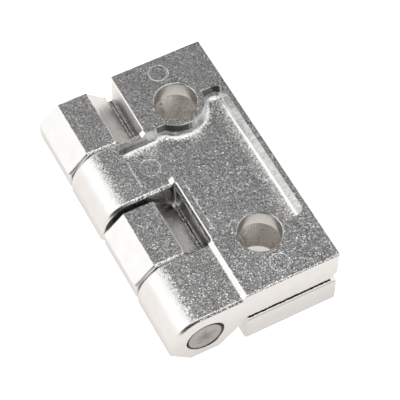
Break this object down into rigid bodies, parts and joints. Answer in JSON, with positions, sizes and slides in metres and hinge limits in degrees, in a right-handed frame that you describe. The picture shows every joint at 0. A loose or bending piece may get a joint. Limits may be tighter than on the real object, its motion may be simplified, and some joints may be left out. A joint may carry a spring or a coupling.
{
  "type": "butt hinge",
  "caption": "Die-cast butt hinge with countersunk screw holes and two like leaves that fold shut face to face on one steel pin",
  "frame": {"origin": "midpoint between the fixed leaf's two screw holes, on that leaf's mounting face", "axes": "+X from the pin to the free edges, +Y along the pin, +Z from the fixed leaf's mounting face to the moving leaf's when folded shut"},
  "size_m": [0.0377, 0.06, 0.0165],
  "materials": {
    "plated_casting": "satin plating over die-cast zinc, with a fine speckled cast grain",
    "pin_steel": "turned and lightly peened end faces"
  },
  "bodies": {
    "fixed": {"fixed_leaf": "plated_casting", "hinge_pin": "pin_steel"},
    "moving": {"moving_leaf": "plated_casting"}
  },
  "joints": [
    {"name": "leaf_hinge", "type": "hinge", "parent": "fixed", "child": "moving", "pos_m": [-0.0183, 0, 0.00825], "axis": [0, -1, 0], "range_deg": [0, 265]}
  ]
}
